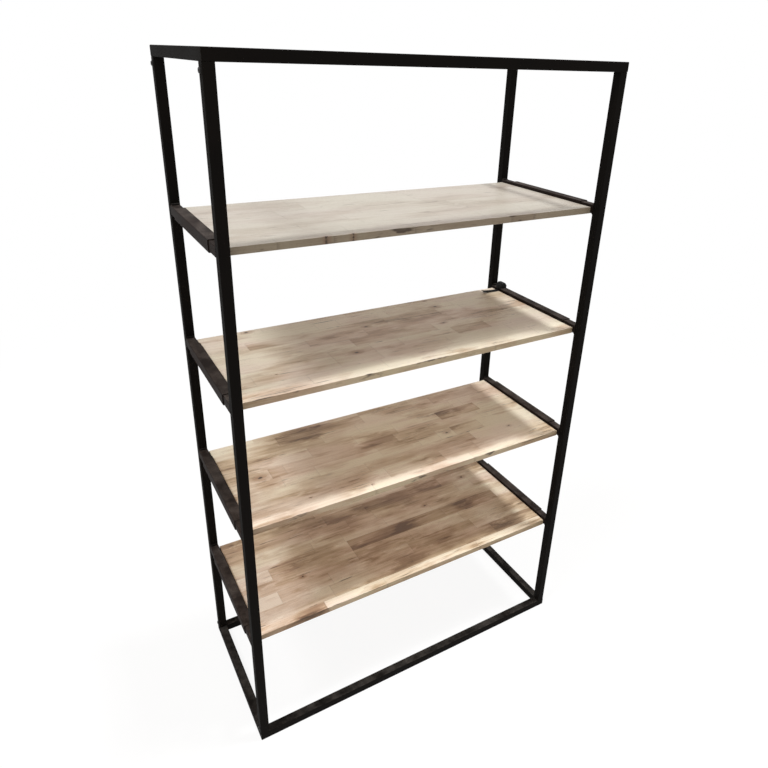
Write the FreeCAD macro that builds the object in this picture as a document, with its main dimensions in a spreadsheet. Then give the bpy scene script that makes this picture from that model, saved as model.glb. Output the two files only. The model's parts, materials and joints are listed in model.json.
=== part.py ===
import FreeCAD, Part
import math
import os
import re
import Sketcher

# Free-standing shelving unit: a black steel frame that carries four wooden boards.
#
# A welded rectangle of square tube lies on the floor and another one closes the top.
# Four posts stand between them: each rectangle has a spigot under or over every corner
# that enters the post, and a bolt from the outer side holds the two together, in a nut
# welded inside the spigot. Every post carries one short stub of tube per shelf. A shelf
# rail is a larger square tube that slides over a front stub and a back stub, with a screw
# from below at each end, and a flat ledge along its inner side carries the end of the
# board.
#
# Millimetres. X runs left to right, Y front to back, Z up. The origin is on the floor,
# under the middle of the unit.

document = FreeCAD.newDocument("ShelvingUnit")

# ----------------------------------------------------------------------------
# Sizes
# ----------------------------------------------------------------------------

# The sizes that can be set one by one.
driving_sizes = {
    "unit_width": 960,
    "unit_depth": 410,
    "unit_height": 1648,
    # square tube of the posts, stubs and both rectangles
    "tube_side": 22,
    "tube_wall": 1.5,
    "tube_corner": 2,
    # larger tube that slides over the stubs
    "rail_side": 26,
    "rail_corner": 2.5,
    # from the unit's front or back face to the end of a rail
    "rail_end_inset": 66,
    "stub_in_rail": 30,
    "weld_leg": 4,
    # boards and the ledges that carry them
    "lowest_board_top": 337,
    "board_pitch": 326,
    "board_thickness": 16,
    "board_end_gap": 0.5,
    # from the face of a post to the front or back of a board
    "board_side_gap": 5,
    "board_bevel": 0.8,
    "ledge_width": 20,
    "ledge_thickness": 2,
    # spigots between the rectangles and the posts
    "spigot_length": 32,
    "spigot_gap": 0.3,
    "spigot_corner": 1,
    # bolts and nuts at the ends of the posts
    "bolt_radius": 3,
    "bolt_gap": 0.3,
    "bolt_from_post_end": 13,
    "bolt_head_radius": 5.5,
    "bolt_head_height": 3.3,
    "bolt_head_bevel": 1.6,
    "bolt_beyond_nut": 2,
    "socket_flats": 4,
    "socket_depth": 1.8,
    "nut_flats": 10,
    "nut_height": 5,
    "nut_bore_gap": 0.2,
    # screws from below, through the end of a rail into its stub
    "rail_screw_radius": 2.5,
    "rail_screw_length": 8,
    "rail_screw_from_end": 12,
    "rail_screw_head_radius": 4.75,
    "rail_screw_head_height": 2.6,
    # wood screws from below, through a ledge into its board
    "board_screw_radius": 2,
    "board_screw_length": 14,
    "board_screw_spacing": 110,
    "board_screw_head_radius": 4,
    "board_screw_head_height": 2.2,
    "pilot_extra_depth": 1,
    # strap that keeps the unit from tipping, and its cam buckle
    "strap_width": 15,
    "strap_thickness": 1.5,
    "strap_gap": 0.3,
    "strap_tail": 58,
    "strap_point": 6,
    "buckle_length": 22,
    "buckle_cheek": 3.5,
    "buckle_height": 10,
    "lever_height": 18,
}

# The boards, from the lowest to the highest.
shelf_names = ("shelf_1", "shelf_2", "shelf_3", "shelf_4")

# What follows from the sizes.
derived_sizes = {
    "post_x": "unit_width / 2 - tube_side / 2",
    "post_y": "unit_depth / 2 - tube_side / 2",
    "post_length": "unit_height - 2 * tube_side",
    "board_width": "2 * post_x - rail_side - 2 * board_end_gap",
    "board_depth": "unit_depth - 2 * tube_side - 2 * board_side_gap",
    # middle of a rail, from the top of its board: rail and ledge share their underside
    "rail_below_board_top": "board_thickness + ledge_thickness - rail_side / 2",
    "rail_length": "unit_depth - 2 * rail_end_inset",
    "ledge_hole_x": "rail_side / 2 + ledge_width / 2",
    "stub_length": "rail_end_inset - tube_side + stub_in_rail",
    "stub_hole_y": "rail_end_inset - tube_side + rail_screw_from_end",
    "spigot_side": "tube_side - 2 * tube_wall - 2 * spigot_gap",
    "bolt_hole_radius": "bolt_radius + bolt_gap",
    # from the outer face of a post to the inner face of its spigot's wall
    "nut_depth": "2 * tube_wall + spigot_gap",
    "bolt_length": "nut_depth + nut_height + bolt_beyond_nut",
    "rail_screw_hole_radius": "rail_screw_radius + bolt_gap",
    "board_screw_hole_radius": "board_screw_radius + bolt_gap",
    "strap_inside": "tube_side + 2 * strap_gap",
    "strap_outside": "strap_inside + 2 * strap_thickness",
    "buckle_width": "strap_width + 2 * strap_gap + 2 * buckle_cheek",
}


def fill_sheet(name, cells):
    """A spreadsheet with one alias per cell."""
    sheet = document.addObject("Spreadsheet::Sheet", name)
    for row, (alias, content) in enumerate(cells.items(), start=1):
        sheet.set("A%d" % row, alias)
        sheet.set("B%d" % row, content)
        sheet.setAlias("B%d" % row, alias)
    document.recompute()
    return sheet


def with_sheets(formula):
    """The formula with each size's name led by the name of its sheet."""

    def lead(word):
        if word.group() in driving_sizes:
            return "Sizes." + word.group()
        if word.group() in derived_sizes:
            return "Derived." + word.group()
        return word.group()

    return re.sub(r"[a-z_]\w*", lead, formula)


sizes_sheet = fill_sheet("Sizes", {name: str(value) for name, value in driving_sizes.items()})
fill_sheet("Derived", {name: "=" + with_sheets(formula) for name, formula in derived_sizes.items()})


def number(formula):
    """What a formula comes to now."""
    return float(sizes_sheet.evalExpression(with_sheets(formula)))


def bind(thing, path, formula):
    """Ties one property of an object to a formula of sizes."""
    thing.setExpression(path, with_sheets(formula))


# ----------------------------------------------------------------------------
# Bodies, sketches and features
# ----------------------------------------------------------------------------

# how near a line an edge must end to be counted as lying on it
close_to = 0.01

subparts = []


def new_body(label):
    """An empty sub-part. Its label is also the name of its file."""
    body = document.addObject("PartDesign::Body", label)
    body.Label = label
    subparts.append(body)
    return body


def place(body, x, y, z, turn=0):
    """Moves a sub-part to its place, turned about Z by some degrees."""
    body.Placement = FreeCAD.Placement(
        FreeCAD.Vector(number(x), number(y), number(z)),
        FreeCAD.Rotation(FreeCAD.Vector(0, 0, 1), turn),
    )
    bind(body, "Placement.Base.x", x)
    bind(body, "Placement.Base.y", y)
    bind(body, "Placement.Base.z", z)


def origin_feature(body, role):
    """A plane or an axis of the body's own origin."""
    return next(feature for feature in body.Origin.OriginFeatures if feature.Role == role)


def new_sketch(body, name, plane, shift=("0", "0", "0")):
    """A sketch on one of the body's planes, shifted along its X, its Y and its normal."""
    sketch = body.newObject("Sketcher::SketchObject", name)
    sketch.AttachmentSupport = [(origin_feature(body, plane), "")]
    sketch.MapMode = "FlatFace"
    for axis, formula in zip("xyz", shift):
        bind(sketch, "AttachmentOffset.Base." + axis, formula)
    return sketch


def dimension(sketch, kind, places, formula):
    """A constraint whose value follows a formula."""
    index = sketch.addConstraint(Sketcher.Constraint(kind, *places, number(formula)))
    bind(sketch, "Constraints[%d]" % index, formula)


def draw_outline(sketch, corners):
    """A closed outline of straight lines through the corners."""
    first = sketch.GeometryCount
    points = [FreeCAD.Vector(number(x), number(y), 0) for x, y in corners]
    for index, point in enumerate(points):
        sketch.addGeometry(Part.LineSegment(point, points[(index + 1) % len(points)]))
    for index, (x, y) in enumerate(corners):
        following = first + (index + 1) % len(corners)
        sketch.addConstraint(Sketcher.Constraint("Coincident", first + index, 2, following, 1))
        dimension(sketch, "DistanceX", (-1, 1, first + index, 1), x)
        dimension(sketch, "DistanceY", (-1, 1, first + index, 1), y)


def draw_rectangle(sketch, left, right, bottom, top):
    draw_outline(sketch, ((left, bottom), (right, bottom), (right, top), (left, top)))


def draw_circle(sketch, x, y, radius):
    middle = FreeCAD.Vector(number(x), number(y), 0)
    index = sketch.addGeometry(Part.Circle(middle, FreeCAD.Vector(0, 0, 1), number(radius)))
    dimension(sketch, "DistanceX", (-1, 1, index, 3), x)
    dimension(sketch, "DistanceY", (-1, 1, index, 3), y)
    dimension(sketch, "Radius", (index,), radius)


def draw_hexagon(sketch, flats):
    """A hexagon about the sketch's origin, given by its width across the flats."""
    tip = "%s / sqrt(3)" % flats
    shoulder = "%s / (2 * sqrt(3))" % flats
    side = "%s / 2" % flats
    draw_outline(
        sketch,
        (
            (tip, "0"),
            (shoulder, side),
            ("-" + shoulder, side),
            ("-" + tip, "0"),
            ("-" + shoulder, "-" + side),
            (shoulder, "-" + side),
        ),
    )


def draw_rounded_rectangle(sketch, width, height, radius):
    """A rectangle with round corners about the sketch's origin."""
    first = sketch.GeometryCount
    half_width = number(width) / 2
    half_height = number(height) / 2
    round_by = number(radius)
    straight_x = half_width - round_by
    straight_y = half_height - round_by
    # each side, and the middle of the corner that follows it
    sides = (
        ((-straight_x, -half_height), (straight_x, -half_height), (straight_x, -straight_y)),
        ((half_width, -straight_y), (half_width, straight_y), (straight_x, straight_y)),
        ((straight_x, half_height), (-straight_x, half_height), (-straight_x, straight_y)),
        ((-half_width, straight_y), (-half_width, -straight_y), (-straight_x, -straight_y)),
    )
    quarter = math.pi / 2
    for index, (start, end, middle) in enumerate(sides):
        sketch.addGeometry(Part.LineSegment(FreeCAD.Vector(*start, 0), FreeCAD.Vector(*end, 0)))
        circle = Part.Circle(FreeCAD.Vector(*middle, 0), FreeCAD.Vector(0, 0, 1), round_by)
        sketch.addGeometry(Part.ArcOfCircle(circle, (index - 1) * quarter, index * quarter))
    for index in range(8):
        following = first + (index + 1) % 8
        sketch.addConstraint(Sketcher.Constraint("Tangent", first + index, 2, following, 1))
    sketch.addConstraint(Sketcher.Constraint("Horizontal", first))
    sketch.addConstraint(Sketcher.Constraint("Vertical", first + 2))
    for index in (3, 5, 7):
        sketch.addConstraint(Sketcher.Constraint("Equal", first + 1, first + index))
    sketch.addConstraint(Sketcher.Constraint("Symmetric", first + 1, 3, first + 5, 3, -1, 1))
    dimension(sketch, "DistanceX", (first + 7, 3, first + 1, 3), "(%s) - 2 * (%s)" % (width, radius))
    dimension(sketch, "DistanceY", (first + 1, 3, first + 3, 3), "(%s) - 2 * (%s)" % (height, radius))
    dimension(sketch, "Radius", (first + 1,), radius)


def draw_tube(sketch, side, corner):
    """The section of a square tube: its outside and its inside."""
    inside = "%s - 2 * tube_wall" % side
    # a thick wall leaves a small radius inside
    inner_corner = "max(%s - tube_wall; %s / 4)" % (corner, corner)
    draw_rounded_rectangle(sketch, side, side, corner)
    draw_rounded_rectangle(sketch, inside, inside, inner_corner)


def add_pad(body, sketch, name, length, symmetric=False, backwards=False):
    """Material from a sketch, to one side of it or evenly to both."""
    pad = body.newObject("PartDesign::Pad", name)
    pad.Profile = sketch
    pad.SideType = "Symmetric" if symmetric else "One side"
    pad.Reversed = backwards
    bind(pad, "Length", length)
    document.recompute()


def add_pocket(body, sketch, name, depth=None, symmetric=False, backwards=False):
    """A cut from a sketch: all the way through, or to a depth."""
    before = body.Shape.Volume
    pocket = body.newObject("PartDesign::Pocket", name)
    pocket.Profile = sketch
    pocket.SideType = "Symmetric" if symmetric else "One side"
    pocket.Reversed = backwards
    if depth is None:
        pocket.Type = "ThroughAll"
    else:
        bind(pocket, "Length", depth)
    document.recompute()
    if body.Shape.Volume >= before:
        raise RuntimeError("%s cuts nothing from %s" % (name, body.Label))


def add_turned_piece(body, sketch, name, axis):
    """A full turn of a sketch about its own H_Axis or V_Axis."""
    turned = body.newObject("PartDesign::Revolution", name)
    turned.Profile = sketch
    turned.ReferenceAxis = (sketch, [axis])
    turned.Angle = 360
    document.recompute()


def add_bevel(body, name, size, wanted):
    """A bevel along every edge of the body's tip that the test picks."""
    base = body.Tip
    names = ["Edge%d" % index for index, edge in enumerate(base.Shape.Edges, 1) if wanted(edge)]
    bevel = body.newObject("PartDesign::Chamfer", name)
    bevel.Base = (base, names)
    bind(bevel, "Size", size)
    document.recompute()


def repeat(body, name, axis, span, count, second_axis=None, second_span=None, second_count=1):
    """Copies of the whole body in a row, or in rows and columns, over a span."""
    pattern = body.newObject("PartDesign::LinearPattern", name)
    pattern.TransformMode = "Whole shape"
    pattern.Direction = (origin_feature(body, axis), [""])
    pattern.Occurrences = count
    bind(pattern, "Length", span)
    if second_axis is not None:
        pattern.Direction2 = (origin_feature(body, second_axis), [""])
        pattern.Occurrences2 = second_count
        bind(pattern, "Length2", second_span)
    body.Tip = pattern
    document.recompute()


def mirror(body, name, plane):
    """The whole body and its mirror image."""
    mirrored = body.newObject("PartDesign::Mirrored", name)
    mirrored.TransformMode = "Whole shape"
    mirrored.MirrorPlane = (origin_feature(body, plane), [""])
    body.Tip = mirrored
    document.recompute()


# ----------------------------------------------------------------------------
# The welded rectangles at the floor and at the top
# ----------------------------------------------------------------------------


def make_mitred_tube(label, length, x, y, z, turn):
    """One side of a rectangle. Its outer face looks to the front before it is turned."""
    body = new_body(label)
    section = new_sketch(body, label + "_section", "YZ_Plane")
    draw_tube(section, "tube_side", "tube_corner")
    add_pad(body, section, label + "_tube", length, symmetric=True)
    mitre = new_sketch(body, label + "_mitre", "XY_Plane")
    for side in ("", "-"):
        outer = "%s(%s) / 2" % (side, length)
        inner = "%s((%s) / 2 - tube_side)" % (side, length)
        draw_outline(
            mitre,
            ((outer, "-tube_side / 2"), (outer, "tube_side / 2"), (inner, "tube_side / 2")),
        )
    add_pocket(body, mitre, label + "_ends", symmetric=True)
    place(body, x, y, z, turn)


for level, frame_z in (("base", "tube_side / 2"), ("top", "unit_height - tube_side / 2")):
    make_mitred_tube(level + "_frame_front", "unit_width", "0", "-post_y", frame_z, 0)
    make_mitred_tube(level + "_frame_back", "unit_width", "0", "post_y", frame_z, 180)
    make_mitred_tube(level + "_frame_left", "unit_depth", "-post_x", "0", frame_z, -90)
    make_mitred_tube(level + "_frame_right", "unit_depth", "post_x", "0", frame_z, 90)


def make_spigots(label, z, hole_z):
    """Four short tubes, one at each corner of a rectangle, that enter the posts.

    Each has a bolt hole in its outer wall only.
    """
    body = new_body(label)
    section = new_sketch(body, label + "_section", "XY_Plane", ("-post_x", "-post_y", "0"))
    draw_tube(section, "spigot_side", "spigot_corner")
    add_pad(body, section, label + "_tube", "spigot_length")
    hole = new_sketch(body, label + "_hole", "YZ_Plane", ("-post_y", hole_z, "-post_x"))
    draw_circle(hole, "0", "0", "bolt_hole_radius")
    add_pocket(body, hole, label + "_bolt_hole")
    repeat(body, label + "_left", "Y_Axis", "2 * post_y", 2)
    mirror(body, label + "_right", "YZ_Plane")
    place(body, "0", "0", z)


make_spigots("base_frame_spigots", "tube_side", "bolt_from_post_end")
make_spigots(
    "top_frame_spigots",
    "unit_height - tube_side - spigot_length",
    "spigot_length - bolt_from_post_end",
)

# ----------------------------------------------------------------------------
# Posts, their stubs, and the rails that slide over the stubs
# ----------------------------------------------------------------------------

# from the lowest shelf to the highest
shelf_span = "%d * board_pitch" % (len(shelf_names) - 1)


def make_post(label, x, y, turn):
    """A square tube with a bolt hole near each end, in its -X wall before it is turned."""
    body = new_body(label)
    section = new_sketch(body, label + "_section", "XY_Plane")
    draw_tube(section, "tube_side", "tube_corner")
    add_pad(body, section, label + "_tube", "post_length")
    holes = new_sketch(body, label + "_holes", "YZ_Plane")
    for height in ("bolt_from_post_end", "post_length - bolt_from_post_end"):
        draw_circle(holes, "0", height, "bolt_hole_radius")
    add_pocket(body, holes, label + "_bolt_holes")
    place(body, x, y, "tube_side", turn)


def make_stubs(label, x, y, turn):
    """The four stubs of one post, each with a weld bead above and below.

    A stub starts at the face of the post and points to +Y before it is turned.
    """
    body = new_body(label)
    section = new_sketch(body, label + "_section", "XZ_Plane")
    draw_tube(section, "tube_side", "tube_corner")
    add_pad(body, section, label + "_tube", "stub_length", backwards=True)
    bead = new_sketch(body, label + "_bead", "YZ_Plane")
    for side in ("", "-"):
        face = side + "tube_side / 2"
        # the bead starts a little inside the stub, so that the two are one piece
        root = side + "(tube_side / 2 - tube_wall / 2)"
        tip = side + "(tube_side / 2 + weld_leg)"
        draw_outline(bead, (("0", root), ("weld_leg", root), ("weld_leg", face), ("0", tip)))
    add_pad(body, bead, label + "_welds", "tube_side - 2 * tube_corner", symmetric=True)
    hole = new_sketch(body, label + "_hole", "XY_Plane")
    draw_circle(hole, "0", "stub_hole_y", "rail_screw_hole_radius")
    add_pocket(body, hole, label + "_screw_hole")
    repeat(body, label + "_levels", "Z_Axis", shelf_span, len(shelf_names))
    place(body, x, y, "lowest_board_top - rail_below_board_top", turn)


for side, post_x, post_turn in (("left", "-post_x", 0), ("right", "post_x", 180)):
    make_post("front_%s_post" % side, post_x, "-post_y", post_turn)
    make_post("back_%s_post" % side, post_x, "post_y", post_turn)
    make_stubs("front_%s_stubs" % side, post_x, "-post_y + tube_side / 2", 0)
    make_stubs("back_%s_stubs" % side, post_x, "post_y - tube_side / 2", 180)


def make_rail(label, x, z, turn):
    """A tube with a ledge along one side, +X before it is turned."""
    body = new_body(label)
    section = new_sketch(body, label + "_section", "XZ_Plane")
    draw_tube(section, "rail_side", "rail_corner")
    add_pad(body, section, label + "_tube", "rail_length", symmetric=True)
    ledge = new_sketch(body, label + "_ledge_section", "XZ_Plane")
    draw_rectangle(
        ledge,
        "rail_side / 2 - tube_wall",
        "rail_side / 2 + ledge_width",
        "-rail_side / 2",
        "-rail_side / 2 + ledge_thickness",
    )
    add_pad(body, ledge, label + "_ledge", "rail_length", symmetric=True)
    holes = new_sketch(body, label + "_holes", "XY_Plane")
    for place_y in ("-board_screw_spacing", "0", "board_screw_spacing"):
        draw_circle(holes, "ledge_hole_x", place_y, "board_screw_hole_radius")
    for end in ("-", ""):
        end_y = "%s(rail_length / 2 - rail_screw_from_end)" % end
        draw_circle(holes, "0", end_y, "rail_screw_hole_radius")
    add_pocket(body, holes, label + "_screw_holes")
    place(body, x, "0", z, turn)


# ----------------------------------------------------------------------------
# Boards
# ----------------------------------------------------------------------------


def make_board(label, z):
    """A board with bevelled upper edges and pilot holes in its underside."""
    body = new_body(label)
    outline = new_sketch(body, label + "_outline", "XY_Plane")
    draw_rectangle(
        outline, "-board_width / 2", "board_width / 2", "-board_depth / 2", "board_depth / 2"
    )
    add_pad(body, outline, label + "_panel", "board_thickness")
    top_from = number("board_thickness") - close_to

    def on_the_top(edge):
        return edge.BoundBox.ZMin > top_from

    add_bevel(body, label + "_bevel", "board_bevel", on_the_top)
    pilots = new_sketch(body, label + "_pilots", "XY_Plane")
    for side in ("-", ""):
        pilot_x = "%s(post_x - ledge_hole_x)" % side
        for pilot_y in ("-board_screw_spacing", "0", "board_screw_spacing"):
            draw_circle(pilots, pilot_x, pilot_y, "board_screw_hole_radius")
    depth = "board_screw_length - ledge_thickness + pilot_extra_depth"
    add_pocket(body, pilots, label + "_pilot_holes", depth, backwards=True)
    place(body, "0", "0", z)


for step, shelf in enumerate(shelf_names):
    board_top = "lowest_board_top + %d * board_pitch" % step
    rail_z = "%s - rail_below_board_top" % board_top
    make_rail(shelf + "_rail_left", "-post_x", rail_z, 0)
    make_rail(shelf + "_rail_right", "post_x", rail_z, 180)
    make_board(shelf + "_board", "%s - board_thickness" % board_top)

# ----------------------------------------------------------------------------
# Fasteners, drawn at the front left and repeated for the other places
# ----------------------------------------------------------------------------

left_face_x = "-unit_width / 2"
bolt_z = "tube_side + bolt_from_post_end"
bolt_span_z = "post_length - 2 * bolt_from_post_end"


def repeat_at_corners(body, name):
    """Both ends of both left posts, and their mirror image on the right."""
    repeat(body, name + "_posts", "Y_Axis", "2 * post_y", 2, "Z_Axis", bolt_span_z, 2)
    mirror(body, name + "_right", "YZ_Plane")


def make_corner_bolts():
    """Button-head bolts from the outer sides, through a wall of the post and of its spigot."""
    body = new_body("corner_bolts")
    profile = new_sketch(body, "bolt_profile", "XZ_Plane", (left_face_x, bolt_z, "post_y"))
    draw_outline(
        profile,
        (
            ("-bolt_head_height", "0"),
            ("-bolt_head_height", "bolt_head_radius - bolt_head_bevel"),
            ("bolt_head_bevel - bolt_head_height", "bolt_head_radius"),
            ("0", "bolt_head_radius"),
            ("0", "bolt_radius"),
            ("bolt_length", "bolt_radius"),
            ("bolt_length", "0"),
        ),
    )
    add_turned_piece(body, profile, "bolt", "H_Axis")
    head_end = "%s - bolt_head_height" % left_face_x
    socket = new_sketch(body, "bolt_socket", "YZ_Plane", ("-post_y", bolt_z, head_end))
    draw_hexagon(socket, "socket_flats")
    add_pocket(body, socket, "bolt_hexagon", "socket_depth", backwards=True)
    repeat_at_corners(body, "bolts")


def make_corner_nuts():
    """Hexagon nuts welded inside the spigots, to their outer walls."""
    body = new_body("corner_nuts")
    nut_x = "%s + nut_depth" % left_face_x
    hexagon = new_sketch(body, "nut_hexagon", "YZ_Plane", ("-post_y", bolt_z, nut_x))
    draw_hexagon(hexagon, "nut_flats")
    draw_circle(hexagon, "0", "0", "bolt_radius + nut_bore_gap")
    add_pad(body, hexagon, "nut", "nut_height")
    repeat_at_corners(body, "nuts")


def make_screws(label, screw, x, last_y, count):
    """Screws that stand on their heads under the rails: a row from -last_y to last_y.

    There is one row per board, left and right.
    """
    body = new_body(label)
    # the underside of a lowest rail and its ledge
    head_z = "lowest_board_top - board_thickness - ledge_thickness"
    profile = new_sketch(body, label + "_profile", "XZ_Plane", (x, head_z, last_y))
    draw_outline(
        profile,
        (
            ("0", "-%s_head_height" % screw),
            (screw + "_head_radius", "-%s_head_height" % screw),
            (screw + "_head_radius", "0"),
            (screw + "_radius", "0"),
            (screw + "_radius", screw + "_length"),
            ("0", screw + "_length"),
        ),
    )
    add_turned_piece(body, profile, label + "_screw", "V_Axis")
    row_span = "2 * (%s)" % last_y
    repeat(body, label + "_left", "Y_Axis", row_span, count, "Z_Axis", shelf_span, len(shelf_names))
    mirror(body, label + "_right", "YZ_Plane")


make_corner_bolts()
make_corner_nuts()
rail_screw_y = "rail_length / 2 - rail_screw_from_end"
make_screws("rail_screws", "rail_screw", "-post_x", rail_screw_y, 2)
make_screws("board_screws", "board_screw", "-post_x + ledge_hole_x", "board_screw_spacing", 3)

# ----------------------------------------------------------------------------
# The strap that keeps the unit from tipping, on the third board
# ----------------------------------------------------------------------------

# both are drawn round the middle of the back right stub, close to the rail's end
strap_place = (
    "post_x",
    "unit_depth / 2 - rail_end_inset + strap_gap + buckle_width / 2",
    "lowest_board_top + 2 * board_pitch - rail_below_board_top",
)


def make_strap():
    """A band round the stub, with a pointed tail that lies on the board."""
    body = new_body("tip_strap")
    band = new_sketch(body, "strap_band_section", "XZ_Plane")
    band_corner = "tube_corner + strap_thickness"
    draw_rounded_rectangle(band, "strap_outside", "strap_outside", band_corner)
    draw_rounded_rectangle(band, "strap_inside", "strap_inside", "tube_corner")
    add_pad(body, band, "strap_band", "strap_width", symmetric=True)
    # the board's top is as high over the stub's middle as the rail's middle is under it
    tail = new_sketch(body, "strap_tail_outline", "XY_Plane", ("0", "0", "rail_below_board_top"))
    tail_root = "-strap_outside / 2 + strap_thickness / 2"
    tail_tip = "-strap_outside / 2 - strap_tail"
    shoulder = tail_tip + " + strap_point"
    draw_outline(
        tail,
        (
            (tail_root, "-strap_width / 2"),
            (tail_root, "strap_width / 2"),
            (shoulder, "strap_width / 2"),
            (tail_tip, "strap_width / 2 - strap_point"),
            (tail_tip, "strap_point - strap_width / 2"),
            (shoulder, "-strap_width / 2"),
        ),
    )
    add_pad(body, tail, "strap_tail_strip", "strap_thickness")
    place(body, *strap_place)


def make_buckle():
    """A cam buckle on top of the stub: two cheeks beside the band, and a lever over it."""
    body = new_body("tip_strap_buckle")
    side_view = new_sketch(body, "buckle_side_view", "XZ_Plane")
    foot = "tube_side / 2"
    draw_outline(
        side_view,
        (
            ("-buckle_length / 2", foot),
            ("buckle_length / 2", foot),
            ("buckle_length / 2", foot + " + buckle_height"),
            ("buckle_length / 4", foot + " + lever_height"),
            ("-buckle_length / 4", foot + " + lever_height"),
            ("-buckle_length / 2", foot + " + buckle_height"),
        ),
    )
    add_pad(body, side_view, "buckle_block", "buckle_width", symmetric=True)
    slot = new_sketch(body, "buckle_slot_section", "YZ_Plane")
    half_slot = "(strap_width / 2 + strap_gap)"
    draw_rectangle(slot, "-" + half_slot, half_slot, foot, "strap_outside / 2")
    add_pocket(body, slot, "buckle_slot", symmetric=True)
    place(body, *strap_place)


make_strap()
make_buckle()

# ----------------------------------------------------------------------------
# Check and write
# ----------------------------------------------------------------------------

document.recompute()
for thing in document.Objects:
    if "Invalid" in thing.State or "Error" in thing.State:
        raise RuntimeError("%s failed to build" % thing.Name)
for body in subparts:
    if body.Shape.isNull() or not body.Shape.isValid():
        raise RuntimeError("%s has no valid shape" % body.Label)

os.makedirs("parts", exist_ok=True)
for body in subparts:
    body.Shape.exportStep("parts/%s.step" % body.Label)

print("%d sub-parts written" % len(subparts))
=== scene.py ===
# %% [markdown]
# # Dressing a pipe shelving unit
# The real object is a tall open rack: a frame of black square steel tube and four shelves of
# glued hardwood. The engineering model already holds every piece at its true size, so this
# notebook brings that model in, gives each metal piece its finish, and rebuilds the pieces whose
# look depends on their make: the jointed boards, the weld beads and the woven strap.

import json
import math
import random

import bpy
from mathutils import Matrix, Vector


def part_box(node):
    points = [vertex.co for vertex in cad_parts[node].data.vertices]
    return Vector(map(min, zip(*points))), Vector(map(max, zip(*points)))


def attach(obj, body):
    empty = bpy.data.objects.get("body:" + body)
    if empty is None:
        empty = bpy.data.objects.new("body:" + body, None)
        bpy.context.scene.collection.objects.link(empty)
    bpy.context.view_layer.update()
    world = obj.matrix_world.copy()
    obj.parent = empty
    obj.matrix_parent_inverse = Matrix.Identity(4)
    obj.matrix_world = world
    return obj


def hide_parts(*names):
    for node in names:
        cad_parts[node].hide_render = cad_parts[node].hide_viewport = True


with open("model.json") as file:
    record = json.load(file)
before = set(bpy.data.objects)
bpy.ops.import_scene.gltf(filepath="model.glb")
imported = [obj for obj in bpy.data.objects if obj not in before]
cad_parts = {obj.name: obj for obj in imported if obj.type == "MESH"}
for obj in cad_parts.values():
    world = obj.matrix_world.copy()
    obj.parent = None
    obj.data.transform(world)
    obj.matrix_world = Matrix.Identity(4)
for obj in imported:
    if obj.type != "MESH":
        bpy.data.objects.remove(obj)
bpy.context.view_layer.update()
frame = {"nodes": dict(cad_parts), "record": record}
cad_nodes = frame["nodes"]
MM = 0.001

# %% [markdown]
# ## Where the camera stands
# A tall rack shows best from eye height, a little to one side, where the top faces of all its
# shelves are in sight. A camera could be aimed with a Track To constraint, but its turn is known
# here as three plain angles, so it is written as heading, tilt and roll. The shift moves the
# frame without turning the camera, which keeps the uprights' lines as they are.

# %% Place the camera
CAMERA_AT = Vector((-0.7587, -1.3187, 1.6470))
HEADING, TILT, ROLL = (math.radians(a) for a in (-31.167, -24.165, 2.080))
SENSOR_WIDTH_MM = 36.0
FOCAL_LENGTH_MM = 30.060
CAMERA_SHIFT = (-0.02840, -0.05434)


def camera_turn(heading, tilt, roll):
    """The camera's axes for a heading about Z, a tilt above the horizon and a roll."""
    forward = Vector(
        (-math.sin(heading) * math.cos(tilt), math.cos(heading) * math.cos(tilt), math.sin(tilt))
    )
    level_right = Vector((math.cos(heading), math.sin(heading), 0.0))
    level_up = level_right.cross(forward)
    right = math.cos(roll) * level_right + math.sin(roll) * level_up
    up = right.cross(forward)
    return Matrix((right, up, -forward)).transposed().to_4x4()


camera_data = bpy.data.cameras.new("camera")
camera_data.sensor_width = SENSOR_WIDTH_MM
camera_data.lens = FOCAL_LENGTH_MM
camera_data.shift_x, camera_data.shift_y = CAMERA_SHIFT
camera = bpy.data.objects.new("camera", camera_data)
camera.matrix_world = Matrix.Translation(CAMERA_AT) @ camera_turn(HEADING, TILT, ROLL)
bpy.context.scene.collection.objects.link(camera)
bpy.context.scene.camera = camera
print("camera at", tuple(round(v, 3) for v in CAMERA_AT))

# %% [markdown]
# ## Small helpers for shader trees
# A node tree can be wired by hand in the editor or in code. In code, a few short helpers keep
# the wiring readable: they add a node, do a sum, mix two colours or lay out noise. A number is
# set on the socket itself, and anything else is taken to be an output and is linked.

# %% Nodes, sums and mixes
MIX_SOCKETS = (0, 6, 7)  # of a Mix node that mixes colours: the share and the two colours
MIX_RESULT = 2
RAMP_SOCKETS = 5  # of a Map Range node: the value, and from where to where it is carried


def add_node(tree, kind, **settings):
    node = tree.nodes.new(kind)
    for name, value in settings.items():
        setattr(node, name, value)
    return node


def feed(tree, socket, value):
    """Sets a socket to a plain value, or links an output to it."""
    if isinstance(value, bpy.types.NodeSocket):
        tree.links.new(value, socket)
    elif isinstance(value, (tuple, list)) and len(value) == 3 and socket.type == "RGBA":
        socket.default_value = (*value, 1.0)
    else:
        socket.default_value = value


def feed_all(tree, sockets, values):
    for socket, value in zip(sockets, values):
        feed(tree, socket, value)


def calc(tree, operation, *terms, clamp=False):
    node = add_node(tree, "ShaderNodeMath", operation=operation, use_clamp=clamp)
    feed_all(tree, node.inputs, terms)
    return node.outputs[0]


def shift(tree, value, mask, amount, clamp=False):
    """Moves a value by the amount where the mask is 1, and by its share of it elsewhere."""
    return calc(tree, "MULTIPLY_ADD", mask, amount, value, clamp=clamp)


def distance(tree, first, second):
    """How far a point is from the middle, from its offsets along two axes."""
    squares = calc(tree, "MULTIPLY_ADD", first, first, calc(tree, "POWER", second, 2.0))
    return calc(tree, "SQRT", squares)


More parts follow.
